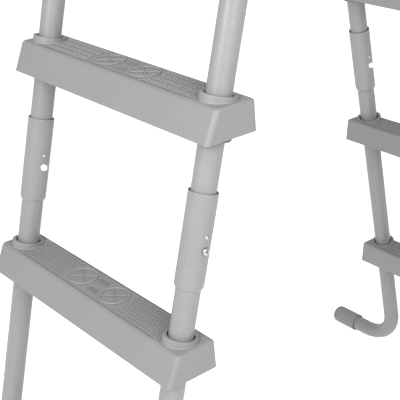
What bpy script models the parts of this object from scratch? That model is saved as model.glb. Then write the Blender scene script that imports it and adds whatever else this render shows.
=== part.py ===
"""An A-frame ladder for an above-ground pool, as an assembly of separate pieces.

Two alike ladders, near and far, lean together over the pool wall, and U-shaped top rails join them.
Each leg is a lower tube with a turned-out foot, then a middle tube, then an end of the top rail,
joined end to end inside sleeves that are riveted to the tube above and bolted to the tube below.
Hollow moulded steps are threaded on the legs.

Metres, +Z up. The origin is on the floor, under the middle of the ladder. X runs along the steps,
and -Y is the near side. The near and far sides are alike.
"""
import math

import bmesh
import bpy
from mathutils import Matrix, Vector

# Driving dimensions.
CLEARANCE = 0.0003            # between pieces that touch
WELD = 0.00002                # corners this close together are one
LEG_SPACING = 0.358           # between the axes of a left and a right leg
LEAN = math.radians(13)       # of every leg from the vertical
FLOOR_SPREAD = 0.5261         # from the middle plane to a leg's axis, at the floor
STEP_RISE = 0.297             # floor to first tread, and tread to tread
STEP_COUNT = 4                # on each side

TUBE_RADIUS = 0.016
TUBE_WALL = 0.0012
TUBE_SIDES = 12
BUTT_GAP = 0.001              # between the two tube ends inside a sleeve

ARCH_HEIGHT = 1.56            # of the centre of the top rail's curve
ARCH_SEGMENTS = 14
FOOT_BEND = 0.083             # bend radius at the axis
FOOT_SEGMENTS = 8
FOOT_REACH = 0.178            # from the leg's axis to the end of the rubber cap

STEP_LENGTH = 0.418
STEP_TOP_DEPTH = 0.060
STEP_BOTTOM_DEPTH = 0.0795
STEP_HEIGHT = 0.0405
STEP_TOP_SHIFT = 0.0066       # of the tread from over the skirt's middle, towards the ladder's middle
STEP_WALL = 0.003
STEP_CORNER = 0.0045
STEP_EDGE = 0.003
RIB_THICKNESS = 0.0022
RIB_LIFT = 0.010              # from the skirt's lower edge to the ribs
CROSS_RIBS = 4

BOSS_RADIUS = 0.0232          # of the collar that a leg passes through at each end of a step
BOSS_LIP = 0.0005             # above the tread, at the collar's lowest point
BOSS_DROP = 0.011             # below the skirt, at its lowest point
BOSS_MOUTH_RADIUS = 0.0178
BOSS_MOUTH_DEPTH = 0.008
BOSS_SIDES = 12

# The lower sleeve is midway between the second tread and the third step's skirt.
LOWER_SLEEVE_HEIGHT = 2.5 * STEP_RISE - STEP_HEIGHT / 2
SLEEVE_HEIGHTS = {"lower": LOWER_SLEEVE_HEIGHT, "upper": LOWER_SLEEVE_HEIGHT + 2 * STEP_RISE}
SLEEVE_LENGTH = 0.1233
SLEEVE_RADIUS = 0.0189
SLEEVE_WALL = 0.0015
SLEEVE_NECK = 0.005           # length of the taper at the lower end
SLEEVE_NECK_RADIUS = 0.0174
FASTENER_OFFSET = 0.0086      # bolt and rivet, each side of the sleeve's middle

BOLT_RADIUS = 0.0025
BOLT_HEAD_RADIUS = 0.0047
BOLT_HEAD_HEIGHT = 0.0034
BOLT_TAIL = 0.0035            # how far the bolt stands out into the nut
NUT_RADIUS = 0.005
NUT_HEIGHT = 0.006
RIVET_RADIUS = 0.002
RIVET_HEAD_RADIUS = 0.0028
RIVET_HEAD_HEIGHT = 0.0012
SMALL_SIDES = 8

CAP_RADIUS = 0.019
CAP_LENGTH = 0.068
CAP_END_WALL = 0.012
CAP_DOME = 0.014
CAP_SIDES = 18                # puts a flat face of the cap underneath
FOOT_AXIS_HEIGHT = CAP_RADIUS * math.cos(math.pi / CAP_SIDES)    # sets that face on the floor

ENDS = {"near": -1, "far": 1}
SIDES = {"left": -1, "right": 1}
X_AXIS = Vector((1, 0, 0))
Y_AXIS = Vector((0, 1, 0))

# Each finish is a name, a colour, a roughness and a metallic value.
PAINTED_STEEL = ("painted_steel", (0.50, 0.51, 0.52), 0.38, 0.35)
STEP_PLASTIC = ("step_plastic", (0.36, 0.37, 0.38), 0.55, 0.0)
CAP_RUBBER = ("cap_rubber", (0.34, 0.35, 0.36), 0.7, 0.0)
ZINC_STEEL = ("zinc_steel", (0.72, 0.72, 0.70), 0.25, 1.0)
WHITE_NYLON = ("white_nylon", (0.88, 0.88, 0.87), 0.4, 0.0)


def clear_scene():
    for old in list(bpy.data.objects):
        bpy.data.objects.remove(old, do_unlink=True)


def new_collection(name):
    collection = bpy.data.collections.new(name)
    bpy.context.scene.collection.children.link(collection)
    return collection


clear_scene()
PARTS = new_collection("pool_ladder")
CUTTERS = new_collection("pool_ladder_cutters")


def material(finish):
    name, colour, roughness, metallic = finish
    existing = bpy.data.materials.get(name)
    if existing:
        return existing
    made = bpy.data.materials.new(name)
    made.use_nodes = True
    shader = made.node_tree.nodes["Principled BSDF"]
    shader.inputs["Base Color"].default_value = (*colour, 1)
    shader.inputs["Roughness"].default_value = roughness
    shader.inputs["Metallic"].default_value = metallic
    return made


def add_part(name, mesh, finish, matrix=Matrix()):
    part = bpy.data.objects.new(name, mesh)
    PARTS.objects.link(part)
    part.matrix_world = matrix
    if not mesh.materials:
        mesh.materials.append(material(finish))
    return part


def add_cutter(name, mesh, matrix=Matrix()):
    cutter = bpy.data.objects.new(name, mesh)
    CUTTERS.objects.link(cutter)
    cutter.matrix_world = matrix
    cutter.hide_render = True
    cutter.display_type = "WIRE"
    return cutter


def boolean(target, tool, operation):
    modifier = target.modifiers.new(tool.name, "BOOLEAN")
    modifier.operation = operation
    modifier.object = tool
    modifier.solver = "EXACT"


def evaluated_mesh(source):
    """The mesh of an object with its modifiers applied and welded. The object itself is removed."""
    state = bpy.context.evaluated_depsgraph_get()
    mesh = bpy.data.meshes.new_from_object(source.evaluated_get(state))
    shape = bmesh.new()
    shape.from_mesh(mesh)
    bmesh.ops.remove_doubles(shape, verts=shape.verts, dist=WELD)
    bmesh.ops.dissolve_degenerate(shape, edges=shape.edges, dist=WELD)
    shape.to_mesh(mesh)
    shape.free()
    mesh.materials.clear()
    bpy.data.objects.remove(source, do_unlink=True)
    return mesh


def mesh_from(shape, name):
    mesh = bpy.data.meshes.new(name)
    shape.to_mesh(mesh)
    shape.free()
    return mesh


def placed(origin, along, across=X_AXIS):
    """The matrix that turns local Z to along and keeps local X near across."""
    z_axis = along.normalized()
    y_axis = z_axis.cross(across).normalized()
    x_axis = y_axis.cross(z_axis)
    turn = Matrix((x_axis, y_axis, z_axis)).transposed()
    return Matrix.Translation(origin) @ turn.to_4x4()


def sideways(origin, side):
    """A frame whose Z points out of the ladder to one side, for fasteners and foot caps."""
    return placed(origin, X_AXIS * side, Y_AXIS)


def around(radius, sides):
    """The corner radius of a regular polygon that a circle of this radius fits inside."""
    return radius / math.cos(math.pi / sides)


def turned(name, outline, sides, add, closed=False):
    """A turned piece. Its outline is (radius, height) points, down the outer side first."""
    edges = [(i, i + 1) for i in range(len(outline) - 1)]
    if closed:
        edges.append((len(outline) - 1, 0))
    mesh = bpy.data.meshes.new(name)
    mesh.from_pydata([(radius, 0, height) for radius, height in outline], edges, [])
    target = add(mesh)
    screw = target.modifiers.new("turn", "SCREW")
    screw.steps = sides
    screw.render_steps = sides
    screw.use_merge_vertices = True
    screw.merge_threshold = WELD
    return target


def turned_part(name, outline, sides, finish, matrix, closed=False):
    return turned(name, outline, sides, lambda mesh: add_part(name, mesh, finish, matrix), closed)


def turned_cutter(name, outline, sides, matrix):
    return turned(name, outline, sides, lambda mesh: add_cutter(name, mesh, matrix))


def cross_hole(name, origin, radius):
    """A cutter that drills through a whole leg sideways."""
    shape = bmesh.new()
    corner = around(radius + CLEARANCE, SMALL_SIDES)
    bmesh.ops.create_cone(shape, cap_ends=True, segments=SMALL_SIDES, radius1=corner,
                          radius2=corner, depth=4 * SLEEVE_RADIUS)
    return add_cutter(name, mesh_from(shape, name), sideways(origin, 1))


# Where the legs run.
def leg_point(side, end, height):
    spread = FLOOR_SPREAD - math.tan(LEAN) * height
    return Vector((SIDES[side] * LEG_SPACING / 2, ENDS[end] * spread, height))


def leg_direction(end):
    """Up along the legs of one end, which lean towards the middle."""
    return Vector((0, -ENDS[end] * math.sin(LEAN), math.cos(LEAN)))


# Steps. A step's own frame has its origin at mid height, where the legs' axes cross it, and its legs
# lean as the near side's do.
BOSS_TOP = (STEP_HEIGHT / 2 + BOSS_RADIUS * math.sin(LEAN) + BOSS_LIP) / math.cos(LEAN)
BOSS_BOTTOM = (-STEP_HEIGHT / 2 + BOSS_RADIUS * math.sin(LEAN) - BOSS_DROP) / math.cos(LEAN)


def skirt_depth(height):
    """Half the outer depth of a step at a height above its mid height."""
    slope = (STEP_TOP_DEPTH - STEP_BOTTOM_DEPTH) / STEP_HEIGHT
    return ((STEP_TOP_DEPTH + STEP_BOTTOM_DEPTH) / 2 + slope * height) / 2


def skirt_middle(height):
    """How far a step's section is off centre. Its outer face slopes more than its inner one."""
    return STEP_TOP_SHIFT * (height / STEP_HEIGHT + 0.5)


def tapered_block(left, right, inset, low, high):
    """A block between two heights that follows the slope of the skirt, set in from its face."""
    shape = bmesh.new()
    bmesh.ops.create_cube(shape, size=2)
    for vertex in shape.verts:
        across = right if vertex.co.x > 0 else left
        height = high if vertex.co.z > 0 else low
        depth = math.copysign(skirt_depth(height) - inset, vertex.co.y)
        vertex.co = Vector((across, skirt_middle(height) + depth, height))
    return shape


def round_edges(shape, wanted, radius, segments):
    edges = [edge for edge in shape.edges if wanted(edge)]
    bmesh.ops.bevel(shape, geom=edges, offset=radius, segments=segments, profile=0.5,
                    affect="EDGES", offset_type="OFFSET")


def is_upright(edge):
    return abs(edge.verts[0].co.z - edge.verts[1].co.z) > STEP_HEIGHT / 2


def is_on_top(edge):
    return all(vertex.co.z > STEP_HEIGHT / 2 - CLEARANCE for vertex in edge.verts)


def step_body():
    half = STEP_LENGTH / 2
    shape = tapered_block(-half, half, 0, -STEP_HEIGHT / 2, STEP_HEIGHT / 2)
    round_edges(shape, is_upright, STEP_CORNER, 2)
    round_edges(shape, is_on_top, STEP_EDGE, 2)
    return mesh_from(shape, "step_blank")


def step_hollow():
    half = STEP_LENGTH / 2 - STEP_WALL
    shape = tapered_block(-half, half, STEP_WALL, -STEP_HEIGHT, STEP_HEIGHT / 2 - STEP_WALL)
    round_edges(shape, is_upright, STEP_CORNER - STEP_WALL, 1)
    return add_cutter("step_hollow", mesh_from(shape, "step_hollow"))


def step_ribs():
    """One rib along the step and several across it, as shapes to be joined to it."""
    low = RIB_LIFT - STEP_HEIGHT / 2
    high = STEP_HEIGHT / 2 - STEP_WALL / 2
    reach = LEG_SPACING / 2 - BOSS_RADIUS + STEP_WALL
    half = RIB_THICKNESS / 2
    spine = bmesh.new()
    bmesh.ops.create_cube(spine, size=1)
    bmesh.ops.scale(spine, vec=(2 * reach, RIB_THICKNESS, high - low), verts=spine.verts)
    bmesh.ops.translate(spine, vec=(0, 0, (low + high) / 2), verts=spine.verts)
    ribs = [add_cutter("spine_rib", mesh_from(spine, "spine_rib"))]
    for number in range(CROSS_RIBS):
        middle = (number - (CROSS_RIBS - 1) / 2) * 2 * reach / (CROSS_RIBS + 1)
        shape = tapered_block(middle - half, middle + half, STEP_WALL / 2, low, high)
        name = f"cross_rib_{number + 1}"
        ribs.append(add_cutter(name, mesh_from(shape, name)))
    return ribs


def step_collar(side):
    """The boss round one leg, and the bore through it with a wider mouth at the top."""
    origin = X_AXIS * SIDES[side] * LEG_SPACING / 2
    frame = placed(origin, leg_direction("near"))
    boss = [(0, BOSS_TOP), (BOSS_RADIUS, BOSS_TOP), (BOSS_RADIUS, BOSS_BOTTOM), (0, BOSS_BOTTOM)]
    grip = around(TUBE_RADIUS + CLEARANCE, BOSS_SIDES)
    above = BOSS_TOP + STEP_WALL
    mouth = BOSS_TOP - BOSS_MOUTH_DEPTH
    below = BOSS_BOTTOM - STEP_WALL
    bore = [(0, above), (BOSS_MOUTH_RADIUS, above), (BOSS_MOUTH_RADIUS, mouth),
            (grip, mouth - CLEARANCE), (grip, below), (0, below)]
    return (turned_cutter(f"boss_{side}", boss, BOSS_SIDES, frame),
            turned_cutter(f"bore_{side}", bore, BOSS_SIDES, frame))


def step_mesh():
    blank = bpy.data.objects.new("step_blank", step_body())
    PARTS.objects.link(blank)
    collars = [step_collar(side) for side in SIDES]
    tools = [(step_hollow(), "DIFFERENCE")]
    tools += [(boss, "UNION") for boss, _ in collars]
    tools += [(rib, "UNION") for rib in step_ribs()]
    tools += [(bore, "DIFFERENCE") for _, bore in collars]
    for tool, operation in tools:
        boolean(blank, tool, operation)
    mesh = evaluated_mesh(blank)
    mesh.name = "step"
    for tool, _ in tools:
        bpy.data.objects.remove(tool, do_unlink=True)
    return mesh


def make_steps():
    """All the steps share one mesh. The far ones are turned round to face the other way."""
    mesh = step_mesh()
    for end in ENDS:
        half_turn = Matrix.Rotation(math.pi if end == "far" else 0, 4, "Z")
        for number in range(1, STEP_COUNT + 1):
            middle = leg_point("left", end, number * STEP_RISE - STEP_HEIGHT / 2)
            middle.x = 0
            where = Matrix.Translation(middle) @ half_turn
            add_part(f"{end}_step_{number}", mesh, STEP_PLASTIC, where)


def make_tube(name, points, holes):
    """A hollow steel tube with open ends, swept along a path and drilled."""
    curve = bpy.data.curves.new(name + "_path", "CURVE")
    curve.dimensions = "3D"
    curve.bevel_depth = TUBE_RADIUS
    curve.bevel_resolution = TUBE_SIDES // 2 - 2
    path = curve.splines.new("POLY")
    path.points.add(len(points) - 1)
    for target, point in zip(path.points, points):
        target.co = (*point, 1)
    sweep = bpy.data.objects.new(name + "_path", curve)
    PARTS.objects.link(sweep)
    part = add_part(name, evaluated_mesh(sweep), PAINTED_STEEL)
    wall = part.modifiers.new("wall", "SOLIDIFY")
    wall.thickness = TUBE_WALL
    wall.offset = -1
    wall.use_even_offset = True
    for cutter in holes:
        boolean(part, cutter, "DIFFERENCE")


def make_lower_leg(side, end, bolt_hole):
    """From the lower sleeve down to the floor, then bent out sideways into a foot."""
    upwards = leg_direction(end)
    outwards = X_AXIS * SIDES[side]
    corner = leg_point(side, end, FOOT_AXIS_HEIGHT)
    centre = corner + (upwards + outwards) * FOOT_BEND
    top = leg_point(side, end, SLEEVE_HEIGHTS["lower"]) - upwards * BUTT_GAP / 2
    toe = corner + outwards * (FOOT_REACH - CAP_END_WALL - BUTT_GAP)
    points = [top]
    for step in range(FOOT_SEGMENTS + 1):
        angle = math.pi / 2 * step / FOOT_SEGMENTS
        points.append(centre - (outwards * math.cos(angle) + upwards * math.sin(angle)) * FOOT_BEND)
    make_tube(f"{end}_{side}_lower_leg", [*points, toe], [bolt_hole])


def make_middle_leg(side, end, holes):
    half_gap = leg_direction(end) * BUTT_GAP / 2
    bottom = leg_point(side, end, SLEEVE_HEIGHTS["lower"]) + half_gap
    top = leg_point(side, end, SLEEVE_HEIGHTS["upper"]) - half_gap
    make_tube(f"{end}_{side}_middle_leg", [bottom, top], holes)


def make_top_rail(side, rivet_holes):
    """One tube from the near upper sleeve, over the wall, to the far one."""
    centre = leg_point(side, "near", ARCH_HEIGHT)
    radius = abs(centre.y) * math.cos(LEAN)
    near, far = [leg_point(side, end, SLEEVE_HEIGHTS["upper"]) + leg_direction(end) * BUTT_GAP / 2
                 for end in ENDS]
    points = [near]
    for step in range(ARCH_SEGMENTS + 1):
        angle = math.pi - LEAN - (math.pi - 2 * LEAN) * step / ARCH_SEGMENTS
        points.append(Vector((centre.x, radius * math.cos(angle),
                              ARCH_HEIGHT + radius * math.sin(angle))))
    make_tube(f"{side}_top_rail", [*points, far], rivet_holes)


def make_sleeve(name, middle, direction, holes):
    """Rounded in at the lower end to grip the tube, and a little wider than the tube above."""
    half = SLEEVE_LENGTH / 2
    inner = SLEEVE_RADIUS - SLEEVE_WALL
    grip = around(TUBE_RADIUS + CLEARANCE, TUBE_SIDES)
    outline = [(SLEEVE_RADIUS, half), (SLEEVE_RADIUS, SLEEVE_NECK - half),
               (SLEEVE_NECK_RADIUS, -half), (grip, -half), (grip, SLEEVE_NECK - half),
               (inner, 1.5 * SLEEVE_NECK - half), (inner, half)]
    sleeve = turned_part(name, outline, TUBE_SIDES, PAINTED_STEEL, placed(middle, direction), True)
    for cutter in holes:
        boolean(sleeve, cutter, "DIFFERENCE")


def make_bolt(name, where, side):
    """A pan-head bolt with its head on the leg's outer face."""
    seat = SLEEVE_RADIUS + CLEARANCE
    crown = seat + BOLT_HEAD_HEIGHT
    tail = -SLEEVE_RADIUS - BOLT_TAIL
    outline = [(0, crown), (BOLT_HEAD_RADIUS * 0.7, crown - BOLT_HEAD_HEIGHT * 0.15),
               (BOLT_HEAD_RADIUS, crown - BOLT_HEAD_HEIGHT * 0.6), (BOLT_HEAD_RADIUS, seat),
               (BOLT_RADIUS, seat), (BOLT_RADIUS, tail), (0, tail)]
    turned_part(name, outline, SMALL_SIDES, ZINC_STEEL, sideways(where, side))


def make_cap_nut(name, where, side):
    """A domed nut on the bolt's tail, on the leg's inner face."""
    seat = SLEEVE_RADIUS + CLEARANCE
    top = seat + NUT_HEIGHT
    bore = around(BOLT_RADIUS + CLEARANCE, SMALL_SIDES)
    bottom = SLEEVE_RADIUS + BOLT_TAIL + CLEARANCE
    outline = [(0, top), (NUT_RADIUS * 0.7, top - NUT_HEIGHT * 0.15),
               (NUT_RADIUS, top - NUT_HEIGHT * 0.5), (NUT_RADIUS, seat), (bore, seat),
               (bore, bottom), (0, bottom)]
    turned_part(name, outline, SMALL_SIDES, WHITE_NYLON, sideways(where, -side))


def make_rivet(name, where):
    """A rivet right through the leg, with a head on both faces."""
    seat = SLEEVE_RADIUS + CLEARANCE
    crown = seat + RIVET_HEAD_HEIGHT
    upper = [(0, crown), (RIVET_HEAD_RADIUS * 0.7, crown - RIVET_HEAD_HEIGHT * 0.25),
             (RIVET_HEAD_RADIUS, seat), (RIVET_RADIUS, seat)]
    outline = upper + [(radius, -height) for radius, height in reversed(upper)]
    turned_part(name, outline, SMALL_SIDES, ZINC_STEEL, sideways(where, 1))


def make_joint(side, end, level):
    """A sleeve with its fasteners. Returns the holes for the tube below and the tube above."""
    name = f"{end}_{side}_{level}"
    direction = leg_direction(end)
    middle = leg_point(side, end, SLEEVE_HEIGHTS[level])
    bolt_place = middle - direction * FASTENER_OFFSET
    rivet_place = middle + direction * FASTENER_OFFSET
    bolt_hole = cross_hole(name + "_bolt_hole", bolt_place, BOLT_RADIUS)
    rivet_hole = cross_hole(name + "_rivet_hole", rivet_place, RIVET_RADIUS)
    make_sleeve(name + "_sleeve", middle, direction, [bolt_hole, rivet_hole])
    make_bolt(name + "_bolt", bolt_place, SIDES[side])
    make_cap_nut(name + "_cap_nut", bolt_place, SIDES[side])
    make_rivet(name + "_rivet", rivet_place)
    return bolt_hole, rivet_hole


def make_foot_cap(side, end):
    """A rubber cap with a rounded nose, pushed over the foot. It rests on its lowest flat."""
    name = f"{end}_{side}_foot_cap"
    bore = around(TUBE_RADIUS + CLEARANCE, CAP_SIDES)
    shoulder = CAP_LENGTH - CAP_DOME
    end_wall = CAP_LENGTH - CAP_END_WALL
    nose = [(CAP_RADIUS * math.sin(angle), shoulder + CAP_DOME * math.cos(angle))
            for angle in (math.pi / 6, math.pi / 3, math.pi / 2)]
    outline = [(0, CAP_LENGTH), *nose, (CAP_RADIUS, 0), (bore, 0), (bore, end_wall), (0, end_wall)]
    mouth = leg_point(side, end, FOOT_AXIS_HEIGHT)
    mouth.x += SIDES[side] * (FOOT_REACH - CAP_LENGTH)
    turned_part(name, outline, CAP_SIDES, CAP_RUBBER, sideways(mouth, SIDES[side]))


def make_ladder_side(side):
    """The near and far legs on the left or the right, and the rail over the wall between them."""
    rail_holes = []
    for end in ENDS:
        lower_bolt_hole, lower_rivet_hole = make_joint(side, end, "lower")
        upper_bolt_hole, upper_rivet_hole = make_joint(side, end, "upper")
        make_lower_leg(side, end, lower_bolt_hole)
        make_middle_leg(side, end, [lower_rivet_hole, upper_bolt_hole])
        make_foot_cap(side, end)
        rail_holes.append(upper_rivet_hole)
    make_top_rail(side, rail_holes)


def shade():
    """Smooth round faces, with the sharper edges kept crisp."""
    for part in PARTS.objects:
        part.data.shade_smooth()
        part.data.set_sharp_from_angle(angle=math.radians(35))


make_steps()
for ladder_side in SIDES:
    make_ladder_side(ladder_side)
shade()
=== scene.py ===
"""Looks for the pool ladder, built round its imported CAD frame. Metres, +Z up.

Every piece stands for one CAD node and takes its place from that node's box. Sizes that a box can't
give, such as a wall's thickness, are the named values below.
"""

import math

import bmesh
import bpy
from mathutils import Matrix, Vector


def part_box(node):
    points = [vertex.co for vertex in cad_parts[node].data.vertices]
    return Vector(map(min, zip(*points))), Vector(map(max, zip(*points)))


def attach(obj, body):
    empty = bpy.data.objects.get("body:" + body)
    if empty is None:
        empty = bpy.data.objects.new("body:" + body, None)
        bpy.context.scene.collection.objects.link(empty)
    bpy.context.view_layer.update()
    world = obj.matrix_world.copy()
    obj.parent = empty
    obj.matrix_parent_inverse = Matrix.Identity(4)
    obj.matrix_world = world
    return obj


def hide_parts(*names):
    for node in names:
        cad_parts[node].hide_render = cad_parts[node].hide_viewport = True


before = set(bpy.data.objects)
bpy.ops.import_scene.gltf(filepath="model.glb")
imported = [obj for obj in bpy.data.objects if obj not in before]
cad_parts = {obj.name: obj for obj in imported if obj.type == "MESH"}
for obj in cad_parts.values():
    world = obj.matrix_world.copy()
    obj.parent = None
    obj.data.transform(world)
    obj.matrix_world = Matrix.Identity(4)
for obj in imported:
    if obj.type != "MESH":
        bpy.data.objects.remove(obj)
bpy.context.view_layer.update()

ENDS = ("near", "far")
SIDES = {"left": -1, "right": 1}
LEVELS = ("lower", "upper")
X_AXIS = Vector((1, 0, 0))
Y_AXIS = Vector((0, 1, 0))
UP = Vector((0, 0, 1))
TURN = 2 * math.pi

# Tubes and sleeves.
TUBE_RADIUS = 0.016
TUBE_WALL = 0.0012
TUBE_CHAMFER = 0.0004
BUTT_GAP = 0.0005             # from a joint's middle to the end of each tube in it
FOOT_BEND = 0.083
FOOT_BEND_STEPS = 28
ARCH_STEPS = 72
SLEEVE_LENGTH = 0.1233
SLEEVE_RADIUS = 0.0189
SLEEVE_WALL = 0.0015
SLEEVE_NECK = 0.005
SLEEVE_NECK_RADIUS = 0.0174
SLEEVE_NECK_LAND = 0.0012     # the straight end of the neck
SLEEVE_LIP_STEPS = 6
SLEEVE_RING = 0.0016          # spacing of the rings round a sleeve
DISH_RADIUS = 0.0068          # of the flat pressed round a fastener
DISH_DEPTH = 0.0009
DISH_SHARES = {"bolt": 1.0, "rivet": 0.55}
ROUND_SIDES = 64
FIT = 0.0003                  # between pieces that touch

# Steps, in a step's own frame: the origin is at mid height, where the legs' axes cross it.
STEP_HEIGHT = 0.0405
STEP_TOP_DEPTH = 0.060
STEP_TOP_SHIFT = 0.0066       # of the tread from over the skirt's middle, towards the ladder's middle
STEP_WALL = 0.003
STEP_CORNER = 0.0058
STEP_EDGE = 0.0042
CORNER_SEGMENTS = 8
INNER_CORNER_SEGMENTS = 5
EDGE_SEGMENTS = 4
STEP_CREASE = 30              # degrees between faces that still shade as one surface
RIB_THICKNESS = 0.0022
RIB_LIFT = 0.010
CROSS_RIBS = 4
COLLAR_RADIUS = 0.0232
COLLAR_LIP = 0.0005
COLLAR_DROP = 0.011
COLLAR_MOUTH_RADIUS = 0.0178
COLLAR_MOUTH_DEPTH = 0.008
COLLAR_FILLET = 0.0014
COLLAR_ROUND = 0.0008
FILLET_STEPS = 6
ROUND_STEPS = 4
ROUNDEL_PLACE = 0.037         # from the middle of the step
ROUNDEL_RADIUS = 0.0222
ROUNDEL_WIDTH = 0.0027
ROUNDEL_SLANTS = (44, 150)    # of the two ribs across it, in degrees from the step's length
ROUNDEL_RIB_WIDTH = 0.0026
ROUNDEL_RIB_TAPER = 0.0005
ROUNDEL_RIB_DROP = 0.0001     # keeps the tops of the ribs off the top of the ring
MARK_REACHES = (0.010, 0.012, 0.008)  # half lengths of the bars in a block between the roundels
MARK_WIDTH = 0.0012
MARK_TAPER = 0.0003
MARK_PITCH = 0.0032
MARK_BLOCK_SHIFT = 0.003      # of a block along the step, from its middle
MARK_BLOCK_DEPTH = 0.0115     # of a block across the step, from its middle
RELIEF = 0.0013               # how far the pattern stands up from the tread
BAND_DEPTHS = (-0.019, -0.0064, 0.0064, 0.019)
BAND_LANE = 0.0024            # from the middle of a band to each of its two rows of dashes
DASH_LENGTH = 0.0046
DASH_WIDTH = 0.0020
DASH_PITCH = 0.0060
DASH_SLANT = math.radians(41)
ROUNDEL_CLEAR = 0.0305
COLLAR_CLEAR = 0.0268
GROOVE_PLACE = 0.0256         # from the middle of the tread to the line along each long edge
GROOVE_WIDTH = 0.0009
GROOVE_DEPTH = 0.0006
GROOVE_REACH = 0.152

# Fasteners and foot caps.
SEAT = SLEEVE_RADIUS - DISH_DEPTH * 0.6  # where bolt heads and nuts bear, from the leg's axis
BOLT_RADIUS = 0.0025
BOLT_TIP = 0.0004
BOLT_HEAD_RADIUS = 0.0047
BOLT_HEAD_DOME = 0.0019
BOLT_HEAD_EASE = 0.0003
BOLT_HEAD_FLAT = 0.0006       # radius of the flat in the middle of the head
BOLT_SIDES = 40
RECESS = (                    # depth, reach and width of each level of a Phillips recess
    (-0.0004, 0.0027, 0.0011),
    (0.0009, 0.0017, 0.0008),
    (0.0017, 0.0007, 0.0006),
)
NUT_RADIUS = 0.0050           # to its corners
NUT_HEIGHT = 0.0034           # of its hexagon
NUT_FOOT = 0.0005
NUT_SHOULDER = 0.0004
NUT_SHOULDER_INSET = 0.0006
NUT_DOME_RADIUS = 0.0042
NUT_DOME_SIDES = 36
NUT_BORE_SIDES = 24
RIVET_HEAD_RADIUS = 0.0028
RIVET_RADIUS = 0.002
RIVET_SIDES = 32
CAP_RADIUS = 0.019
CAP_NOSE = 0.014
CAP_RIM = 0.0007
CAP_END_WALL = 0.012
CAP_FLARE = 0.0009            # of the bore at the mouth
CAP_GROOVE = 0.0005           # depth of the line round the mouth
CAP_SIDE_RINGS = 10
CAP_MOUTH = 0.006             # length of the plain band at the mouth, before the flutes
CAP_FLUTES = 24
FLUTE_DEPTH = 0.00035
FLUTE_FADE = 0.008


# Mesh tools.
def mesh_of(shape, name):
    mesh = bpy.data.meshes.new(name)
    shape.to_mesh(mesh)
    shape.free()
    return mesh


def loft(name, rings, loop=False):
    """Skins a row of rings with equal counts of points. A loop joins the last ring to the first,
    and otherwise both ends are filled."""
    shape = bmesh.new()
    layers = [[shape.verts.new(point) for point in ring] for ring in rings]
    pairs = list(zip(layers, layers[1:]))
    if loop:
        pairs.append((layers[-1], layers[0]))
    else:
        shape.faces.new(reversed(layers[0]))
        shape.faces.new(layers[-1])
    for lower, upper in pairs:
        for i in range(len(lower)):
            j = (i + 1) % len(lower)
            shape.faces.new((lower[i], lower[j], upper[j], upper[i]))
    bmesh.ops.recalc_face_normals(shape, faces=shape.faces)
    return mesh_of(shape, name)


def arc(centre, radius, start, stop, steps):
    """Points of an outline, as (radius, height), along an arc between two angles in degrees."""
    points = []
    for step in range(steps + 1):
        angle = math.radians(start + (stop - start) * step / steps)
        points.append((centre[0] + radius * math.cos(angle), centre[1] + radius * math.sin(angle)))
    return points


def dome(radius, base, rise, angles):
    """Points of an outline up a dome's side, at angles in degrees from its rim to its pole."""
    return [(radius * math.cos(math.radians(angle)), base + rise * math.sin(math.radians(angle)))
            for angle in angles]


def turned_rings(outline, matrix, sides=ROUND_SIDES):
    """Turns an outline round a matrix's Z axis, as one ring for each of its points."""
    rings = []
    for radius, height in outline:
        ring = []
        for i in range(sides):
            angle = TURN * (i + 0.5) / sides
            ring.append(matrix @ Vector((radius * math.cos(angle), radius * math.sin(angle), height)))
        rings.append(ring)
    return rings


def placed(origin, along, across=X_AXIS):
    """The matrix at an origin that turns local Z to along and keeps local X near across."""
    z_axis = along.normalized()
    y_axis = z_axis.cross(across).normalized()
    x_axis = y_axis.cross(z_axis)
    return Matrix.Translation(origin) @ Matrix((x_axis, y_axis, z_axis)).transposed().to_4x4()


def scratch(mesh):
    """A helper object that Booleans use, and that is removed after."""
    helper = bpy.data.objects.new(mesh.name, mesh)
    bpy.context.scene.collection.objects.link(helper)
    return helper


def combined(mesh, tools):
    """The mesh after a row of exact Booleans, each a (mesh, operation) pair."""
    target = scratch(mesh)
    helpers = []
    for tool, operation in tools:
        helper = scratch(tool)
        helpers.append(helper)
        modifier = target.modifiers.new(tool.name, "BOOLEAN")
        modifier.operation = operation
        modifier.object = helper
        modifier.solver = "EXACT"
    state = bpy.context.evaluated_depsgraph_get()
    made = bpy.data.meshes.new_from_object(target.evaluated_get(state))
    made.materials.clear()
    for helper in [target, *helpers]:
        bpy.data.objects.remove(helper, do_unlink=True)
    return made


def piece(node, mesh, finish, matrix=Matrix(), crease=35):
    """Puts a finished mesh in the scene for a CAD node."""
    mesh.shade_smooth()
    mesh.set_sharp_from_angle(angle=math.radians(crease))
    if not mesh.materials:
        mesh.materials.append(finish)
    made = bpy.data.objects.new(node + "_look", mesh)
    bpy.context.scene.collection.objects.link(made)
    made.matrix_world = matrix
    normals = made.modifiers.new("normals", "WEIGHTED_NORMAL")
    normals.keep_sharp = True
    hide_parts(node)
    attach(made, "root")
    return made


# Where the frame puts things.
def middle_of(node):
    low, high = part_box(node)
    return (low + high) / 2


def leg_line(end, side):
    """A point on a leg's axis and the direction up along it."""
    up = middle_of(f"{end}_{side}_upper_sleeve") - middle_of(f"{end}_{side}_lower_sleeve")
    return middle_of(f"{end}_{side}_middle_leg"), up.normalized()


def leg_at_height(end, side, height):
    point, up = leg_line(end, side)
    return point + up * ((height - point.z) / up.z)


def leg_at_depth(end, side, depth):
    point, up = leg_line(end, side)
    return point + up * ((depth - point.y) / up.y)


def joint_middle(end, side, level):
    name = f"{end}_{side}_{level}"
    return (leg_at_height(end, side, middle_of(name + "_bolt").z)
            + leg_at_height(end, side, middle_of(name + "_rivet").z)) / 2


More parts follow.
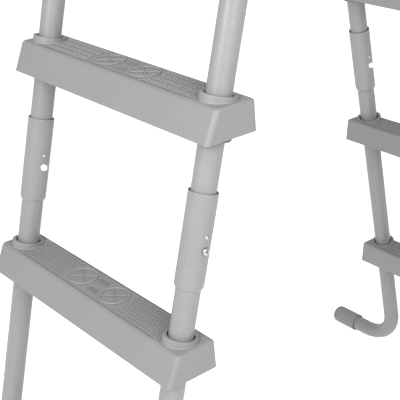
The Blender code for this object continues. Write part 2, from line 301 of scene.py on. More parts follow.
LEAN = math.acos(leg_line("near", "right")[1].z)
STEP_LOW, STEP_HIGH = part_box("near_step_1")
STEP_LENGTH = STEP_HIGH.x - STEP_LOW.x
STEP_BOTTOM_DEPTH = STEP_HIGH.y - STEP_LOW.y
LEG_PLACE = middle_of("near_right_middle_leg").x


# Materials.
class Finish:
    """A material's node tree, with short ways to add to it."""

    def __init__(self, name, colour, roughness, metallic=0.0):
        self.material = bpy.data.materials.new(name)
        self.material.use_nodes = True
        self.tree = self.material.node_tree
        self.shader = self.tree.nodes["Principled BSDF"]
        self.shader.inputs["Metallic"].default_value = metallic
        self.place = self.tree.nodes.new("ShaderNodeTexCoord").outputs["Object"]
        self.colour = self.flat(colour)
        self.roughness = roughness

    def node(self, kind, **values):
        made = self.tree.nodes.new(kind)
        for name, value in values.items():
            setattr(made, name, value)
        return made

    def link(self, output, target):
        self.tree.links.new(output, target)

    def flat(self, colour):
        made = self.node("ShaderNodeRGB")
        made.outputs[0].default_value = (*colour, 1)
        return made.outputs[0]

    def stretched(self, scale):
        """The object's own coordinates, with each axis scaled."""
        made = self.node("ShaderNodeMapping")
        made.inputs["Scale"].default_value = scale
        self.link(self.place, made.inputs["Vector"])
        return made.outputs["Vector"]

    def noise(self, scale, detail=2.0, place=None):
        made = self.node("ShaderNodeTexNoise")
        made.inputs["Scale"].default_value = scale
        made.inputs["Detail"].default_value = detail
        self.link(place or self.place, made.inputs["Vector"])
        return made.outputs["Fac"]

    def cells(self, scale):
        """One random value to each small cell."""
        made = self.node("ShaderNodeTexVoronoi")
        made.inputs["Scale"].default_value = scale
        self.link(self.place, made.inputs["Vector"])
        apart = self.node("ShaderNodeSeparateColor")
        self.link(made.outputs["Color"], apart.inputs["Color"])
        return apart.outputs["Red"]

    def ranged(self, value, low, high, to_low=0.0, to_high=1.0):
        made = self.node("ShaderNodeMapRange")
        limits = {"From Min": low, "From Max": high, "To Min": to_low, "To Max": to_high}
        for name, number in limits.items():
            made.inputs[name].default_value = number
        self.link(value, made.inputs["Value"])
        return made.outputs["Result"]

    def shaded(self, share, shade):
        """Mixes a lighter or darker form of the colour in, by a share from 0 to 1."""
        mix = self.node("ShaderNodeMix", data_type="RGBA", blend_type="MULTIPLY")
        mix.inputs["B"].default_value = (shade, shade, shade, 1)
        self.link(self.colour, mix.inputs["A"])
        self.link(share, mix.inputs["Factor"])
        self.colour = mix.outputs["Result"]

    def edges(self, radius, limit):
        """1 on the sharp and rounded edges, and 0 on flat ground."""
        bevel = self.node("ShaderNodeBevel", samples=4)
        bevel.inputs["Radius"].default_value = radius
        plain = self.node("ShaderNodeNewGeometry")
        dot = self.node("ShaderNodeVectorMath", operation="DOT_PRODUCT")
        self.link(bevel.outputs["Normal"], dot.inputs[0])
        self.link(plain.outputs["Normal"], dot.inputs[1])
        return self.ranged(dot.outputs["Value"], 1.0, limit)

    def hollows(self, reach, open_share, shut_share):
        """1 deep in corners and beside raised marks, and 0 on open ground."""
        shelter = self.node("ShaderNodeAmbientOcclusion", samples=6)
        shelter.inputs["Distance"].default_value = reach
        return self.ranged(shelter.outputs["AO"], open_share, shut_share)

    def level(self, height, spread):
        """1 at a height in the object's own frame, and 0 from spread above or below it."""
        apart = self.node("ShaderNodeSeparateXYZ")
        self.link(self.place, apart.inputs["Vector"])
        off = self.node("ShaderNodeMath", operation="SUBTRACT")
        off.inputs[1].default_value = height
        self.link(apart.outputs["Z"], off.inputs[0])
        size = self.node("ShaderNodeMath", operation="ABSOLUTE")
        self.link(off.outputs["Value"], size.inputs[0])
        return self.ranged(size.outputs["Value"], spread, spread * 0.6)

    def finish(self, grain, strength, distance, rough_source):
        """Adds the grain as bump and a roughness that varies, and gives the material."""
        bump = self.node("ShaderNodeBump")
        bump.inputs["Strength"].default_value = strength
        bump.inputs["Distance"].default_value = distance
        self.link(grain, bump.inputs["Height"])
        self.link(bump.outputs["Normal"], self.shader.inputs["Normal"])
        low, high = self.roughness
        self.link(self.ranged(rough_source, 0.3, 0.7, low, high), self.shader.inputs["Roughness"])
        self.link(self.colour, self.shader.inputs["Base Color"])
        return self.material


def painted_steel():
    """Grey powder coat with a fine metallic sparkle and an orange-peel skin, its edges painted paler as a
    painted highlight together with wear.
    """
    coat = Finish("powder_coat", (0.158, 0.1605, 0.163), (0.34, 0.43))
    dull_patches = coat.ranged(coat.noise(9, 3), 0.4, 0.7)
    bright_flecks = coat.ranged(coat.cells(2600), 0.9, 0.94)
    dark_flecks = coat.ranged(coat.cells(2100), 0.92, 0.96)
    # painted highlight: the edges are lighter, as where light catches them, together with wear
    edge_highlight_and_wear = coat.edges(0.0008, 0.93)
    coat.shaded(dull_patches, 0.96)
    coat.shaded(bright_flecks, 1.3)
    coat.shaded(dark_flecks, 0.8)
    coat.shaded(edge_highlight_and_wear, 1.12)
    return coat.finish(coat.noise(1500, 2), strength=0.10, distance=0.0002, rough_source=coat.noise(45, 4))


def step_plastic():
    """Moulded grey plastic with a fine matt grain. Its edges are painted paler, as painted highlights
    together with wear, and the tops of its raised marks carry a painted highlight. Painted shade darkens
    its corners and a band on the collars just under the skirt.
    """
    plastic = Finish("moulded_plastic", (0.150, 0.152, 0.1545), (0.46, 0.60))
    dull_patches = plastic.ranged(plastic.noise(12, 3), 0.4, 0.7)
    grain = plastic.ranged(plastic.noise(900, 2), 0.5, 0.75)
    # painted highlight: the tops of the raised marks are lighter, as where light falls on them
    painted_highlight_on_marks = plastic.level(STEP_HEIGHT / 2 + RELIEF, 0.0005)
    # painted shadow: a dark band on the collars just below the skirt's bottom edge
    painted_shadow_under_skirt = plastic.level(-STEP_HEIGHT / 2 - 0.0035, 0.0035)
    # painted shade: darker in corners and beside the raised marks
    painted_corner_shade = plastic.hollows(0.0016, 0.85, 0.40)
    # painted highlight: the edges are lighter, as where light catches them, together with wear
    rubbed_edges_and_highlight = plastic.edges(0.0010, 0.9)
    plastic.shaded(dull_patches, 0.96)
    plastic.shaded(grain, 0.95)
    plastic.shaded(painted_highlight_on_marks, 1.18)
    plastic.shaded(painted_shadow_under_skirt, 0.35)
    plastic.shaded(painted_corner_shade, 0.25)
    plastic.shaded(rubbed_edges_and_highlight, 1.14)
    return plastic.finish(plastic.noise(1400, 2), strength=0.14, distance=0.0002,
                          rough_source=plastic.noise(60, 4))


def cap_rubber():
    """Matt grey rubber with scuffs along the foot."""
    rubber = Finish("foot_rubber", (0.160, 0.1625, 0.165), (0.55, 0.70))
    dull_patches = rubber.ranged(rubber.noise(30, 4), 0.42, 0.7)
    scuffs = rubber.ranged(rubber.noise(260, 3, rubber.stretched((0.12, 1, 1))), 0.6, 0.75)
    rubber.shaded(dull_patches, 0.88)
    rubber.shaded(scuffs, 1.12)
    return rubber.finish(rubber.noise(1300, 2), strength=0.3, distance=0.0003,
                         rough_source=rubber.noise(80, 3))


def zinc_steel():
    """Bright zinc plate with fine turning marks and dull patches, painted highlights on its edges and
    painted shade in its recesses.
    """
    zinc = Finish("zinc_plate", (0.41, 0.415, 0.42), (0.24, 0.38), metallic=1.0)
    dull_patches = zinc.ranged(zinc.noise(700, 3), 0.45, 0.7)
    # painted highlight: the edges are brighter, as where light catches them
    painted_edge_highlights = zinc.edges(0.0003, 0.9)
    # painted shade: darker inside the recesses
    painted_recess_shade = zinc.hollows(0.0016, 0.85, 0.35)
    turning_marks = zinc.noise(4000, 2, zinc.stretched((1, 0.1, 0.1)))
    zinc.shaded(dull_patches, 0.82)
    zinc.shaded(painted_edge_highlights, 1.2)
    zinc.shaded(painted_recess_shade, 0.2)
    return zinc.finish(turning_marks, strength=0.2, distance=0.0001, rough_source=zinc.noise(900, 3))


def white_nylon():
    """Off-white nylon with a waxy, slightly mottled skin."""
    nylon = Finish("white_nylon", (0.86, 0.86, 0.85), (0.34, 0.46))
    nylon.shader.inputs["Subsurface Weight"].default_value = 0.15
    nylon.shader.inputs["Subsurface Scale"].default_value = 0.001
    mottling = nylon.ranged(nylon.noise(500, 3), 0.45, 0.75)
    nylon.shaded(mottling, 0.94)
    return nylon.finish(nylon.noise(2500, 2), strength=0.15, distance=0.0001,
                        rough_source=nylon.noise(1200, 2))


POWDER_COAT = painted_steel()
PLASTIC = step_plastic()
RUBBER = cap_rubber()
ZINC = zinc_steel()
NYLON = white_nylon()


# Steps.
def skirt_depth(height):
    """Half the outer depth of a step at a height above its mid height."""
    slope = (STEP_TOP_DEPTH - STEP_BOTTOM_DEPTH) / STEP_HEIGHT
    return ((STEP_TOP_DEPTH + STEP_BOTTOM_DEPTH) / 2 + slope * height) / 2


def skirt_middle(height):
    """How far a step's section is off centre. Its outer face slopes more than its inner one."""
    return STEP_TOP_SHIFT * (height / STEP_HEIGHT + 0.5)


def tapered_block(left, right, inset, low, high):
    """A slice of a step's outline between two places along it, set in all round from the skirt."""
    shape = bmesh.new()
    bmesh.ops.create_cube(shape, size=2)
    for vertex in shape.verts:
        across = right if vertex.co.x > 0 else left
        height = high if vertex.co.z > 0 else low
        depth = math.copysign(skirt_depth(height) - inset, vertex.co.y)
        vertex.co = Vector((across, skirt_middle(height) + depth, height))
    return shape


def round_edges(shape, wanted, radius, segments):
    edges = [edge for edge in shape.edges if wanted(edge)]
    bmesh.ops.bevel(shape, geom=edges, offset=radius, segments=segments, profile=0.5,
                    affect="EDGES", offset_type="OFFSET")


def is_upright(edge):
    return abs(edge.verts[0].co.z - edge.verts[1].co.z) > STEP_HEIGHT / 2


def is_on_top(edge):
    return all(vertex.co.z > STEP_HEIGHT / 2 - FIT for vertex in edge.verts)


def step_body():
    """The outside of a step, with its upright corners and its tread's edges rounded."""
    half = STEP_LENGTH / 2
    shape = tapered_block(-half, half, 0, -STEP_HEIGHT / 2, STEP_HEIGHT / 2)
    round_edges(shape, is_upright, STEP_CORNER, CORNER_SEGMENTS)
    round_edges(shape, is_on_top, STEP_EDGE, EDGE_SEGMENTS)
    return mesh_of(shape, "step_body")


def step_hollow():
    """What a step's body loses, open at the bottom."""
    half = STEP_LENGTH / 2 - STEP_WALL
    shape = tapered_block(-half, half, STEP_WALL, -STEP_HEIGHT, STEP_HEIGHT / 2 - STEP_WALL)
    round_edges(shape, is_upright, STEP_CORNER - STEP_WALL, INNER_CORNER_SEGMENTS)
    return mesh_of(shape, "step_hollow")


def bar(shape, start, stop, width, low, high, taper=0.0):
    """Adds a straight bar to a shape, between two points of the tread plan, narrower at the top."""
    run = (stop - start).normalized()
    across = Vector((-run.y, run.x, 0)) * width / 2
    corners = []
    for height, inset in ((low, 0.0), (high, taper)):
        grip = across * (1 - 2 * inset / width)
        ends = (start + run * inset, stop - run * inset)
        ring = (ends[0] - grip, ends[1] - grip, ends[1] + grip, ends[0] + grip)
        corners.append([shape.verts.new((*point.to_2d(), height)) for point in ring])
    lower, upper = corners
    shape.faces.new(reversed(lower))
    shape.faces.new(upper)
    for i in range(4):
        j = (i + 1) % 4
        shape.faces.new((lower[i], lower[j], upper[j], upper[i]))


def step_ribs():
    """The spine and the cross ribs under the tread."""
    low = RIB_LIFT - STEP_HEIGHT / 2
    high = STEP_HEIGHT / 2 - STEP_WALL / 2
    reach = LEG_PLACE - COLLAR_RADIUS + STEP_WALL
    spine = bmesh.new()
    bar(spine, Vector((-reach, 0, 0)), Vector((reach, 0, 0)), RIB_THICKNESS, low, high)
    ribs = [mesh_of(spine, "spine_rib")]
    half = RIB_THICKNESS / 2
    for number in range(CROSS_RIBS):
        middle = (number - (CROSS_RIBS - 1) / 2) * 2 * reach / (CROSS_RIBS + 1)
        rib = tapered_block(middle - half, middle + half, STEP_WALL / 2, low, high)
        ribs.append(mesh_of(rib, "cross_rib"))
    return ribs


def collar_frame(side):
    return placed(X_AXIS * SIDES[side] * LEG_PLACE, Vector((0, math.sin(LEAN), math.cos(LEAN))))


COLLAR_TOP = (STEP_HEIGHT / 2 + COLLAR_RADIUS * math.sin(LEAN) + COLLAR_LIP) / math.cos(LEAN)
COLLAR_BOTTOM = (-STEP_HEIGHT / 2 + COLLAR_RADIUS * math.sin(LEAN) - COLLAR_DROP) / math.cos(LEAN)


def collar(side):
    """A collar square to its leg. A fillet runs round its foot, and shrinks where it is low."""
    where = collar_frame(side)
    lines = []
    for i in range(ROUND_SIDES):
        angle = TURN * (i + 0.5) / ROUND_SIDES
        flat = Vector((math.cos(angle), math.sin(angle), 0))
        # Where this line of the collar's side meets the tread.
        low_side = (where.to_3x3() @ flat).z
        base = (STEP_HEIGHT / 2 - COLLAR_RADIUS * low_side) / math.cos(LEAN)
        rise = COLLAR_TOP - base
        fillet = min(COLLAR_FILLET, 0.45 * rise)
        rounding = min(COLLAR_ROUND, 0.4 * rise)
        line = [(COLLAR_RADIUS - COLLAR_ROUND, COLLAR_BOTTOM),
                (COLLAR_RADIUS, COLLAR_BOTTOM + COLLAR_ROUND),
                (COLLAR_RADIUS, base - STEP_WALL * 0.8),
                (COLLAR_RADIUS + fillet, base - STEP_WALL * 0.5)]
        line += arc((COLLAR_RADIUS + fillet, base + fillet), fillet, 270, 180, FILLET_STEPS)
        line += arc((COLLAR_RADIUS - rounding, COLLAR_TOP - rounding), rounding, 0, 90, ROUND_STEPS)
        lines.append([where @ (flat * radius + UP * height) for radius, height in line])
    return loft("collar_" + side, list(zip(*lines)))


def collar_bore(side):
    """The hole for a leg, with a wider mouth that is eased at the collar's top."""
    above = COLLAR_TOP + STEP_WALL
    mouth = COLLAR_TOP - COLLAR_MOUTH_DEPTH
    below = COLLAR_BOTTOM - STEP_WALL
    eased = COLLAR_MOUTH_RADIUS + COLLAR_ROUND
    outline = [(eased + STEP_WALL, above), (eased, COLLAR_TOP),
               (COLLAR_MOUTH_RADIUS, COLLAR_TOP - COLLAR_ROUND), (COLLAR_MOUTH_RADIUS, mouth),
               (TUBE_RADIUS + FIT, mouth - COLLAR_ROUND), (TUBE_RADIUS + FIT, below)]
    return loft("bore_" + side, turned_rings(outline, collar_frame(side)))


def tread_base():
    """Heights between which the raised pattern runs: from inside the tread's wall to its top."""
    return STEP_HEIGHT / 2 - STEP_WALL / 2, STEP_HEIGHT / 2 + RELIEF


def is_clear(point):
    """Whether a dash here would be clear of the roundels and the collars."""
    collar_y = math.tan(LEAN) * STEP_HEIGHT / 2 - STEP_TOP_SHIFT
    from_roundel = math.hypot(abs(point.x) - ROUNDEL_PLACE, point.y)
    from_collar = math.hypot(abs(point.x) - LEG_PLACE, point.y - collar_y)
    return from_roundel > ROUNDEL_CLEAR and from_collar > COLLAR_CLEAR and abs(point.x) > ROUNDEL_PLACE


def tread_dashes():
    """Bands of short slanted dashes, two staggered rows to a band."""
    low, high = tread_base()
    shape = bmesh.new()
    half = Vector((math.cos(DASH_SLANT), math.sin(DASH_SLANT), 0)) * DASH_LENGTH / 2
    count = int(LEG_PLACE / DASH_PITCH)
    for depth in BAND_DEPTHS:
        for lane in (-1, 1):
            for number in range(-count, count + 1):
                middle = Vector(((number + lane / 4) * DASH_PITCH, depth + lane * BAND_LANE, 0))
                if is_clear(middle):
                    bar(shape, middle - half, middle + half, DASH_WIDTH, low, high, DASH_WIDTH / 5)
    return mesh_of(shape, "tread_dashes")


def tread_marks():
    """Short plain bars between the roundels."""
    low, high = tread_base()
    shape = bmesh.new()
    for block in (-1, 1):
        for number, reach in enumerate(MARK_REACHES):
            depth = block * MARK_BLOCK_DEPTH + (number - 1) * MARK_PITCH
            middle = Vector((-block * MARK_BLOCK_SHIFT, depth, 0))
            half = X_AXIS * reach
            bar(shape, middle - half, middle + half, MARK_WIDTH, low, high, MARK_TAPER)
    return mesh_of(shape, "tread_marks")


def roundel_ring(side):
    """A raised ring with chamfered edges."""
    low, high = tread_base()
    crown = ROUNDEL_WIDTH * 0.3
    inner = ROUNDEL_RADIUS - ROUNDEL_WIDTH
    outline = [(inner, low), (inner, high - crown), (inner + crown, high),
               (ROUNDEL_RADIUS - crown, high), (ROUNDEL_RADIUS, high - crown), (ROUNDEL_RADIUS, low)]
    matrix = Matrix.Translation(X_AXIS * SIDES[side] * ROUNDEL_PLACE)
    return loft("roundel_" + side, turned_rings(outline, matrix), loop=True)


def roundel_ribs(slant):
    """One rib across each roundel."""
    low, high = tread_base()
    shape = bmesh.new()
    half = Vector((math.cos(slant), math.sin(slant), 0)) * (ROUNDEL_RADIUS - ROUNDEL_WIDTH / 2)
    for side in SIDES.values():
        middle = X_AXIS * side * ROUNDEL_PLACE
        bar(shape, middle - half, middle + half, ROUNDEL_RIB_WIDTH, low, high - ROUNDEL_RIB_DROP,
            ROUNDEL_RIB_TAPER)
    return mesh_of(shape, "roundel_ribs")


def tread_grooves():
    """A fine line pressed in along each long edge of the tread."""
    shape = bmesh.new()
    top = STEP_HEIGHT / 2
    for side in (-1, 1):
        start = Vector((-GROOVE_REACH, side * GROOVE_PLACE, 0))
        stop = Vector((GROOVE_REACH, side * GROOVE_PLACE, 0))
        bar(shape, start, stop, GROOVE_WIDTH, top - GROOVE_DEPTH, top + RELIEF)
    return mesh_of(shape, "tread_grooves")


def step_mesh():
    """One step in its own frame. The pattern goes on before the bores, which trim it."""
    tools = [(step_hollow(), "DIFFERENCE")]
    tools += [(collar(side), "UNION") for side in SIDES]
    tools += [(rib, "UNION") for rib in step_ribs()]
    pattern = [(roundel_ring(side), "UNION") for side in SIDES]
    pattern += [(roundel_ribs(math.radians(slant)), "UNION") for slant in ROUNDEL_SLANTS]
    pattern += [(tread_marks(), "UNION"), (tread_dashes(), "UNION"), (tread_grooves(), "DIFFERENCE")]
    for mesh, _ in pattern:
        mesh.transform(Matrix.Translation(Y_AXIS * STEP_TOP_SHIFT))
    tools += pattern
    tools += [(collar_bore(side), "DIFFERENCE") for side in SIDES]
    return combined(step_body(), tools)


def make_steps():
    mesh = step_mesh()
    for node in sorted(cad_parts):
        if "_step_" not in node:
            continue
        end = node.split("_")[0]
        middle = leg_at_depth(end, "left", middle_of(node).y)
        middle.x = 0
        turn = Matrix.Rotation(math.pi if end == "far" else 0, 4, "Z")
        piece(node, mesh, PLASTIC, Matrix.Translation(middle) @ turn, STEP_CREASE)


# Tubes.
def tube_mesh(name, path, normal):
    """A hollow tube with chamfered ends along a path in the plane with this normal."""
    count = len(path)
    frames = []
    for i, point in enumerate(path):
        ahead = path[min(i + 1, count - 1)] - path[max(i - 1, 0)]
        frames.append((point, ahead.normalized().cross(normal)))

    def ring(station, radius, shift=0.0):
        point, binormal = frames[station]
        along = normal.cross(binormal)
        return [point + along * shift + (normal * math.cos(TURN * i / ROUND_SIDES)
                + binormal * math.sin(TURN * i / ROUND_SIDES)) * radius for i in range(ROUND_SIDES)]

    inner = TUBE_RADIUS - TUBE_WALL
    last = count - 1
    rings = [ring(0, TUBE_RADIUS - TUBE_CHAMFER), ring(0, TUBE_RADIUS, TUBE_CHAMFER)]
    rings += [ring(i, TUBE_RADIUS) for i in range(1, last)]
    rings += [ring(last, TUBE_RADIUS, -TUBE_CHAMFER), ring(last, TUBE_RADIUS - TUBE_CHAMFER)]
    rings += [ring(i, inner) for i in range(last, -1, -1)]
    return loft(name, rings, loop=True)


def make_lower_leg(end, side):
    """A leg that comes down from its joint and turns out along the floor to its toe."""
    node = f"{end}_{side}_lower_leg"
    low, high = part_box(node)
    up = leg_line(end, side)[1]
    outwards = X_AXIS * SIDES[side]
    floor_axis = middle_of(f"{end}_{side}_foot_cap").z
    corner = leg_at_height(end, side, floor_axis)
    bend_middle = corner + (up + outwards) * FOOT_BEND
    toe = corner.copy()
    toe.x = low.x if SIDES[side] < 0 else high.x
    path = [joint_middle(end, side, "lower") - up * BUTT_GAP]
    for step in range(FOOT_BEND_STEPS + 1):
        angle = math.pi / 2 * step / FOOT_BEND_STEPS
        path.append(bend_middle - (outwards * math.cos(angle) + up * math.sin(angle)) * FOOT_BEND)
    path.append(toe)
    piece(node, tube_mesh(node, path, up.cross(outwards).normalized()), POWDER_COAT)


def make_middle_leg(end, side):
    node = f"{end}_{side}_middle_leg"
    up = leg_line(end, side)[1]
    bottom = joint_middle(end, side, "lower") + up * BUTT_GAP
    top = joint_middle(end, side, "upper") - up * BUTT_GAP
    piece(node, tube_mesh(node, [bottom, top], X_AXIS), POWDER_COAT)


def make_top_rail(side):
    """Straight ends that run into a round arch, which touches both legs' axes."""
    node = f"{side}_top_rail"
    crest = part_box(node)[1].z - TUBE_RADIUS
    spread = abs(leg_at_height("near", side, 0).y)
    height = (crest - spread * math.cos(LEAN)) / (1 - math.sin(LEAN))
    radius = crest - height
    x = middle_of(node).x
    path = [joint_middle("near", side, "upper") + leg_line("near", side)[1] * BUTT_GAP]
    for step in range(ARCH_STEPS + 1):
        angle = math.pi - LEAN - (math.pi - 2 * LEAN) * step / ARCH_STEPS
        path.append(Vector((x, radius * math.cos(angle), height + radius * math.sin(angle))))
    path.append(joint_middle("far", side, "upper") + leg_line("far", side)[1] * BUTT_GAP)
    piece(node, tube_mesh(node, path, X_AXIS), POWDER_COAT)


# Joints.
def press_dishes(mesh, name, axis):
    """Presses a shallow round flat into a sleeve about each of its fasteners."""
    for fastener, share in DISH_SHARES.items():
        centre = middle_of(f"{name}_{fastener}")
        radius = DISH_RADIUS * share
        for vertex in mesh.vertices:
            away = math.hypot(vertex.co.y - centre.y, vertex.co.z - centre.z)
            if away < radius:
                depth = DISH_DEPTH * share * (1 + math.cos(math.pi * away / radius)) / 2
                vertex.co.x -= math.copysign(depth, vertex.co.x - axis.x)


def make_sleeve(end, side, level):
    """A sleeve with a rounded mouth, a drawn-in neck, and flats pressed round its fasteners."""
    name = f"{end}_{side}_{level}"
    middle = joint_middle(end, side, level)
    where = placed(middle, leg_line(end, side)[1])
    half = SLEEVE_LENGTH / 2
    inner = SLEEVE_RADIUS - SLEEVE_WALL
    grip = TUBE_RADIUS + FIT
    lip = SLEEVE_WALL / 2
    neck_drop = SLEEVE_RADIUS - SLEEVE_NECK_RADIUS
    outline = arc((SLEEVE_RADIUS - lip, half - lip), lip, 180, 0, SLEEVE_LIP_STEPS)
    stations = int((SLEEVE_LENGTH - SLEEVE_NECK) / SLEEVE_RING)
    for i in range(1, stations):
        outline.append((SLEEVE_RADIUS, half - lip - (SLEEVE_LENGTH - SLEEVE_NECK - lip) * i / stations))
    outline += [(SLEEVE_RADIUS, SLEEVE_NECK - half),
                (SLEEVE_RADIUS - neck_drop * 0.35, SLEEVE_NECK * 0.45 - half),
                (SLEEVE_NECK_RADIUS, SLEEVE_NECK_LAND - half),
                (SLEEVE_NECK_RADIUS - TUBE_CHAMFER, -half),
                (grip, -half), (grip, SLEEVE_NECK - half), (inner, 1.5 * SLEEVE_NECK - half)]
    mesh = loft(name, turned_rings(outline, where), loop=True)
    press_dishes(mesh, name, middle)
    piece(name + "_sleeve", mesh, POWDER_COAT)


def phillips(where, crown):
    """The cross-shaped recess in a bolt's head."""
    tools = []
    for across in (X_AXIS, Y_AXIS):
        other = Vector((across.y, across.x, 0))
        rings = []
        for depth, reach, width in RECESS:
            corners = ((-1, -1), (1, -1), (1, 1), (-1, 1))
            rings.append([where @ (across * u * reach + other * v * width / 2 + UP * (crown - depth))
                          for u, v in corners])
        tools.append((loft("phillips", rings), "DIFFERENCE"))
    return tools


def outer_frame(node, facing):
    """A frame on a fastener's axis, with its origin on the leg's axis and Z pointing sideways."""
    centre = middle_of(node)
    end, side = node.split("_")[:2]
    centre.x = middle_of(f"{end}_{side}_middle_leg").x
    return placed(centre, X_AXIS * facing, Y_AXIS)


def make_bolt(end, side, level):
    """A bolt with a domed head on the leg's outer side and its tip in the nut."""
    node = f"{end}_{side}_{level}_bolt"
    facing = SIDES[side]
    where = outer_frame(node, facing)
    tail, crown = sorted(facing * (corner.x - where.translation.x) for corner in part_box(node))
    outline = [(BOLT_HEAD_FLAT, crown)]
    outline += dome(BOLT_HEAD_RADIUS, crown - BOLT_HEAD_DOME, BOLT_HEAD_DOME, (70, 52, 35, 20, 8, 0))
    outline += [(BOLT_HEAD_RADIUS, SEAT + BOLT_HEAD_EASE), (BOLT_HEAD_RADIUS - BOLT_HEAD_EASE, SEAT),
                (BOLT_RADIUS, SEAT), (BOLT_RADIUS, tail + BOLT_TIP), (BOLT_RADIUS - BOLT_TIP, tail)]
    mesh = combined(loft(node, turned_rings(outline, where, BOLT_SIDES)), phillips(where, crown))
    piece(node, mesh, ZINC)


def make_cap_nut(end, side, level):
    """A hexagonal nut with a chamfered foot and a domed, closed top."""
    node = f"{end}_{side}_{level}_cap_nut"
    where = outer_frame(node, -SIDES[side])
    low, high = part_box(node)
    top = abs(middle_of(node).x - where.translation.x) + (high.x - low.x) / 2
    shoulder = SEAT + NUT_HEIGHT
    rise = top - shoulder
    hexagon = [(NUT_RADIUS - NUT_FOOT, SEAT), (NUT_RADIUS, SEAT + NUT_FOOT),
               (NUT_RADIUS, shoulder - NUT_SHOULDER), (NUT_RADIUS - NUT_SHOULDER_INSET, shoulder)]
    body = loft(node, turned_rings(hexagon, where, 6))
    outline = [(NUT_RADIUS / 2, shoulder - 2 * NUT_SHOULDER), (NUT_DOME_RADIUS, shoulder - NUT_SHOULDER)]
    outline += dome(NUT_DOME_RADIUS, shoulder, rise, (*range(0, 90, 15), 87))
    mesh = combined(body, [(loft("dome", turned_rings(outline, where, NUT_DOME_SIDES)), "UNION")])
    thread = BOLT_RADIUS + FIT
    bore = [(thread, SEAT - 0.001), (thread, shoulder + rise * 0.3)]
    mesh = combined(mesh, [(loft("nut_bore", turned_rings(bore, where, NUT_BORE_SIDES)), "DIFFERENCE")])
    piece(node, mesh, NYLON)


def make_rivet(end, side, level):
    """A domed head with a pulled centre on each face, and a shank between."""
    node = f"{end}_{side}_{level}_rivet"
    low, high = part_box(node)
    crown = (high.x - low.x) / 2
    seat = SLEEVE_RADIUS - FIT
    # From the pulled centre, over the rolled head, to the shank.
    half = [(0.0005, crown - 0.0007), (0.0009, crown - 0.0006), (0.0011, crown), (0.0016, crown - 0.0001),
            (0.0023, crown - 0.0005), (RIVET_HEAD_RADIUS, seat + FIT), (RIVET_HEAD_RADIUS, seat),
            (RIVET_RADIUS, seat)]
    outline = half + [(radius, -height) for radius, height in reversed(half)]
    mesh = loft(node, turned_rings(outline, outer_frame(node, 1), RIVET_SIDES))
    piece(node, mesh, ZINC)


# Feet.
def flute(mesh, where, length):
    """Cuts fine flutes along a cap's outside, which fade out towards its nose, and flattens it where
    it stands."""
    inverse = where.inverted()
    stop = length - CAP_NOSE * 0.6
    for vertex in mesh.vertices:
        local = inverse @ vertex.co
        radius = local.xy.length
        if CAP_MOUTH <= local.z <= stop and radius > TUBE_RADIUS + FIT + 0.001:
            share = 0.5 + 0.5 * math.cos(math.atan2(local.y, local.x) * CAP_FLUTES)
            fade = min(1, (stop - local.z) / FLUTE_FADE)
            local.xy *= 1 - FLUTE_DEPTH * fade * (1 - share ** 0.5) / radius
        vertex.co = where @ local
        vertex.co.z = max(vertex.co.z, 0)


def make_foot_cap(end, side):
    """A rubber cap with a rolled mouth, a rounded nose and fine flutes, flat where it stands."""
    node = f"{end}_{side}_foot_cap"
    low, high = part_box(node)
    length = high.x - low.x
    mouth = middle_of(node)
    mouth.x -= SIDES[side] * length / 2
    where = placed(mouth, X_AXIS * SIDES[side], Y_AXIS)
    bore = TUBE_RADIUS + FIT
    flared = bore + CAP_FLARE
    groove = CAP_RADIUS - CAP_GROOVE
    side_radius = CAP_RADIUS - 0.0001
    run = length - CAP_NOSE - CAP_MOUTH
    # Out of the bore, round the rolled mouth, over a fine groove and along the side to the nose.
    outline = [(bore, length - CAP_END_WALL), (bore, 0.004), (flared, 0.003), (flared, CAP_RIM)]
    outline += arc((CAP_RADIUS - CAP_RIM, CAP_RIM), CAP_RIM, 200, 360, 5)
    outline += [(CAP_RADIUS, 0.0035), (groove, 0.0042), (groove, 0.0052)]
    outline += [(side_radius, CAP_MOUTH + run * i / CAP_SIDE_RINGS) for i in range(CAP_SIDE_RINGS + 1)]
    outline += dome(CAP_RADIUS, length - CAP_NOSE, CAP_NOSE, (*range(10, 90, 10), 88))
    mesh = loft(node, turned_rings(outline, where, CAP_FLUTES * 4))
    flute(mesh, where, length)
    piece(node, mesh, RUBBER)


# The studio. The floor glows, as a lit sweep does. One soft box lights the front of the near ladder,
# and a larger one its right end.
FLOOR_REACH = 12
FLOOR_SHADE = 0.93
FLOOR_GLOW = 0.5
SKY = 0.80
AIM = Vector((0.05, -0.40, 0.75))
SOFT_BOXES = {                # place, size across and power of each
    "front_box": (Vector((0.33, -1.85, 1.67)), 0.6, 36),
    "side_box": (Vector((1.50, -0.68, 1.67)), 1.3, 36),
}


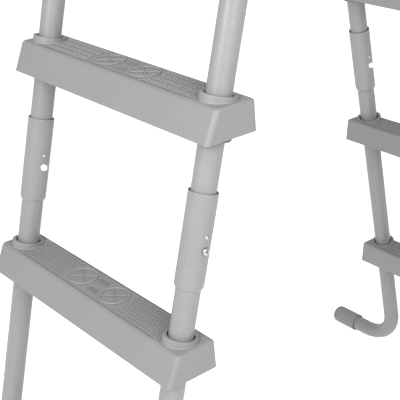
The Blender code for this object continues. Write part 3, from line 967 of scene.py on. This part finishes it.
def make_floor():
    shape = bmesh.new()
    bmesh.ops.create_grid(shape, x_segments=1, y_segments=1, size=FLOOR_REACH)
    floor = bpy.data.objects.new("floor", mesh_of(shape, "floor"))
    bpy.context.scene.collection.objects.link(floor)
    paint = bpy.data.materials.new("pale_floor")
    paint.use_nodes = True
    shader = paint.node_tree.nodes["Principled BSDF"]
    shader.inputs["Base Color"].default_value = (FLOOR_SHADE, FLOOR_SHADE, FLOOR_SHADE, 1)
    shader.inputs["Roughness"].default_value = 0.9
    shader.inputs["Specular IOR Level"].default_value = 0.1
    shader.inputs["Emission Color"].default_value = (1, 1, 1, 1)
    shader.inputs["Emission Strength"].default_value = FLOOR_GLOW
    floor.data.materials.append(paint)


def area_light(name, place, target, size, power):
    lamp = bpy.data.lights.new(name, "AREA")
    lamp.shape = "DISK"
    lamp.size = size
    lamp.energy = power
    holder = bpy.data.objects.new(name, lamp)
    bpy.context.scene.collection.objects.link(holder)
    holder.location = place
    holder.rotation_euler = (target - place).to_track_quat("-Z", "Y").to_euler()
    holder.visible_camera = False


def light_studio():
    world = bpy.data.worlds.new("studio")
    bpy.context.scene.world = world
    world.use_nodes = True
    sky = world.node_tree.nodes["Background"]
    sky.inputs["Color"].default_value = (1, 1, 1, 1)
    sky.inputs["Strength"].default_value = SKY
    for name, (place, size, power) in SOFT_BOXES.items():
        area_light(name, place, AIM, size, power)
    bpy.context.scene.view_settings.view_transform = "Standard"


# The camera stands in front and to the right, above the fourth step, and looks down and to the left.
CAMERA_PLACE = Vector((0.9695, -1.0145, 1.2452))
CAMERA_YAW = 0.8729
CAMERA_PITCH = -0.4301
CAMERA_ROLL = -0.0253
CAMERA_LENS = 86.36


def make_camera():
    camera = bpy.data.cameras.new("camera")
    camera.lens = CAMERA_LENS
    holder = bpy.data.objects.new("camera", camera)
    bpy.context.scene.collection.objects.link(holder)
    heading = Matrix.Rotation(CAMERA_YAW, 4, "Z")
    tilt = Matrix.Rotation(math.pi / 2 + CAMERA_PITCH, 4, "X")
    roll = Matrix.Rotation(CAMERA_ROLL, 4, "Z")
    holder.matrix_world = Matrix.Translation(CAMERA_PLACE) @ heading @ tilt @ roll
    bpy.context.scene.camera = holder


make_steps()
for side_name in SIDES:
    make_top_rail(side_name)
    for end_name in ENDS:
        make_lower_leg(end_name, side_name)
        make_middle_leg(end_name, side_name)
        make_foot_cap(end_name, side_name)
        for level_name in LEVELS:
            make_sleeve(end_name, side_name, level_name)
            make_bolt(end_name, side_name, level_name)
            make_cap_nut(end_name, side_name, level_name)
            make_rivet(end_name, side_name, level_name)
make_floor()
light_studio()
make_camera()
